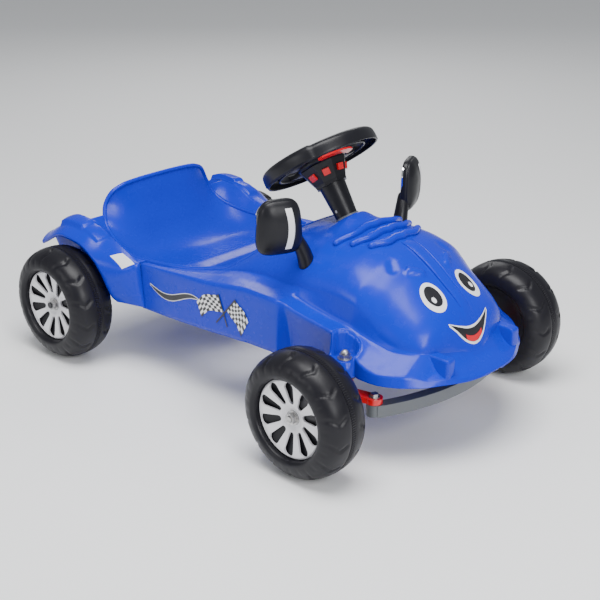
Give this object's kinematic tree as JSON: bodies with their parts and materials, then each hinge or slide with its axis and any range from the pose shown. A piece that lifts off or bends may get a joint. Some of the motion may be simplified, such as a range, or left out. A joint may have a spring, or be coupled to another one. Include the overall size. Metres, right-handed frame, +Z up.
{
  "type": "pedal car",
  "caption": "Low child's pedal car with a moulded bucket-seat body, domed hood, column steering, wing mirrors, mudguards and blow-moulded wheels",
  "frame": {"origin": "on the ground under the middle of the car", "axes": "+X forward, +Y to the car's left, +Z up"},
  "size_m": [0.958, 0.655, 0.5036],
  "materials": {
    "blue_plastic": "high gloss, moulded",
    "black_tyre": "blow moulded, slight sheen",
    "white_trim": "gloss",
    "black_plastic": "semi gloss, fine grain",
    "red_plastic": "gloss",
    "grey_plastic": "satin",
    "mirror_film": "mirrored film",
    "painted_steel": "black enamel",
    "zinc_steel": "bright zinc plate"
  },
  "bodies": {
    "root": {"block_screws": "zinc_steel", "body_shell": "blue_plastic", "column_ring": "grey_plastic", "front_axle_beam": "painted_steel", "kingpin_bolts": "zinc_steel", "kingpin_nuts": "zinc_steel", "kingpin_washers": "zinc_steel", "mirror_glass_left": "mirror_film", "mirror_glass_right": "mirror_film", "mirror_housing_left": "black_plastic", "mirror_housing_right": "black_plastic", "mirror_screws": "zinc_steel", "pedal_rod": "zinc_steel", "rear_axle_block_left": "grey_plastic", "rear_axle_block_right": "grey_plastic", "steering_bearing": "grey_plastic"},
    "rear_axle": {"rear_axle": "zinc_steel", "drive_pin": "zinc_steel", "rear_axle_nuts": "zinc_steel", "rear_axle_spacers": "grey_plastic", "tyre_rear_right": "black_tyre", "rim_disc_rear_right": "white_trim", "hub_bush_rear_right": "grey_plastic"},
    "wheel_rear_left": {"tyre_rear_left": "black_tyre", "rim_disc_rear_left": "white_trim", "hub_bush_rear_left": "grey_plastic"},
    "push_rod_right": {"push_rod_right": "zinc_steel"},
    "push_rod_left": {"push_rod_left": "zinc_steel"},
    "pedal_right": {"pedal_lever_right": "painted_steel", "pedal_pad_right": "black_plastic"},
    "pedal_left": {"pedal_lever_left": "painted_steel", "pedal_pad_left": "black_plastic"},
    "steering": {"steering_wheel": "black_plastic", "steering_hub": "black_plastic", "hub_windows": "red_plastic", "horn_insert": "red_plastic", "horn_spring": "zinc_steel", "column_tube": "black_plastic", "column_screw": "zinc_steel", "steering_shaft": "zinc_steel"},
    "horn": {"horn_button": "red_plastic"},
    "knuckle_right": {"knuckle_right": "red_plastic", "stub_axle_right": "zinc_steel", "front_axle_nut_right": "zinc_steel", "tie_rod_bolt_right": "zinc_steel"},
    "knuckle_left": {"knuckle_left": "red_plastic", "stub_axle_left": "zinc_steel", "front_axle_nut_left": "zinc_steel", "tie_rod_bolt_left": "zinc_steel"},
    "tie_rod": {"tie_rod": "grey_plastic"},
    "wheel_front_right": {"tyre_front_right": "black_tyre", "rim_disc_front_right": "white_trim", "hub_bush_front_right": "grey_plastic"},
    "wheel_front_left": {"tyre_front_left": "black_tyre", "rim_disc_front_left": "white_trim", "hub_bush_front_left": "grey_plastic"}
  },
  "joints": [
    {"name": "rear_axle_spin", "type": "hinge", "parent": "root", "child": "rear_axle", "pos_m": [-0.369, 0, 0.11], "axis": [0, 1, 0], "continuous": true},
    {"name": "rear_left_wheel_spin", "type": "hinge", "parent": "rear_axle", "child": "wheel_rear_left", "pos_m": [-0.369, 0.2535, 0.11], "axis": [0, 1, 0], "continuous": true},
    {"name": "push_rod_right_turn", "type": "hinge", "parent": "rear_axle", "child": "push_rod_right", "pos_m": [-0.369, -0.045, 0.14], "axis": [0, 1, 0], "continuous": true},
    {"name": "push_rod_left_turn", "type": "hinge", "parent": "rear_axle", "child": "push_rod_left", "pos_m": [-0.369, 0.045, 0.08], "axis": [0, 1, 0], "continuous": true},
    {"name": "pedal_right_swing", "type": "hinge", "parent": "root", "child": "pedal_right", "pos_m": [0.132, -0.064, 0.268], "axis": [0, 1, 0], "range_deg": [-15, 15]},
    {"name": "pedal_left_swing", "type": "hinge", "parent": "root", "child": "pedal_left", "pos_m": [0.132, 0.064, 0.268], "axis": [0, 1, 0], "range_deg": [-15, 15]},
    {"name": "steering_turn", "type": "hinge", "parent": "root", "child": "steering", "pos_m": [0.141, 0, 0.341], "axis": [-0.5807, 0, 0.8141], "range_deg": [-33, 33]},
    {"name": "horn_press", "type": "slide", "parent": "steering", "child": "horn", "axis": [0.5807, 0, -0.8141], "range_m": [0, 0.003], "stiffness_N_per_m": 300, "springref_m": -0.001, "deforming": ["horn_spring"]},
    {"name": "knuckle_right_turn", "type": "hinge", "parent": "root", "child": "knuckle_right", "pos_m": [0.301, -0.182, 0.11], "axis": [0, 0, 1], "range_deg": [-21.55, 21.55]},
    {"name": "knuckle_left_turn", "type": "hinge", "parent": "root", "child": "knuckle_left", "pos_m": [0.301, 0.182, 0.11], "axis": [0, 0, 1], "range_deg": [-21.55, 21.55]},
    {"name": "tie_rod_turn", "type": "hinge", "parent": "knuckle_right", "child": "tie_rod", "pos_m": [0.357, -0.17, 0.097], "axis": [0, 0, 1], "range_deg": [-24, 24]},
    {"name": "front_right_wheel_spin", "type": "hinge", "parent": "knuckle_right", "child": "wheel_front_right", "pos_m": [0.301, -0.2805, 0.11], "axis": [0, 1, 0], "continuous": true},
    {"name": "front_left_wheel_spin", "type": "hinge", "parent": "knuckle_left", "child": "wheel_front_left", "pos_m": [0.301, 0.2805, 0.11], "axis": [0, 1, 0], "continuous": true}
  ],
  "couplings": [
    {"joint": "push_rod_right_turn", "follows": "rear_axle_spin", "ratio": -1},
    {"joint": "push_rod_left_turn", "follows": "rear_axle_spin", "ratio": -1},
    {"joint": "pedal_left_swing", "follows": "pedal_right_swing", "ratio": -1},
    {"joint": "knuckle_right_turn", "follows": "steering_turn", "ratio": 0.65},
    {"joint": "knuckle_left_turn", "follows": "steering_turn", "ratio": 0.65},
    {"joint": "tie_rod_turn", "follows": "steering_turn", "ratio": -0.6952}
  ]
}
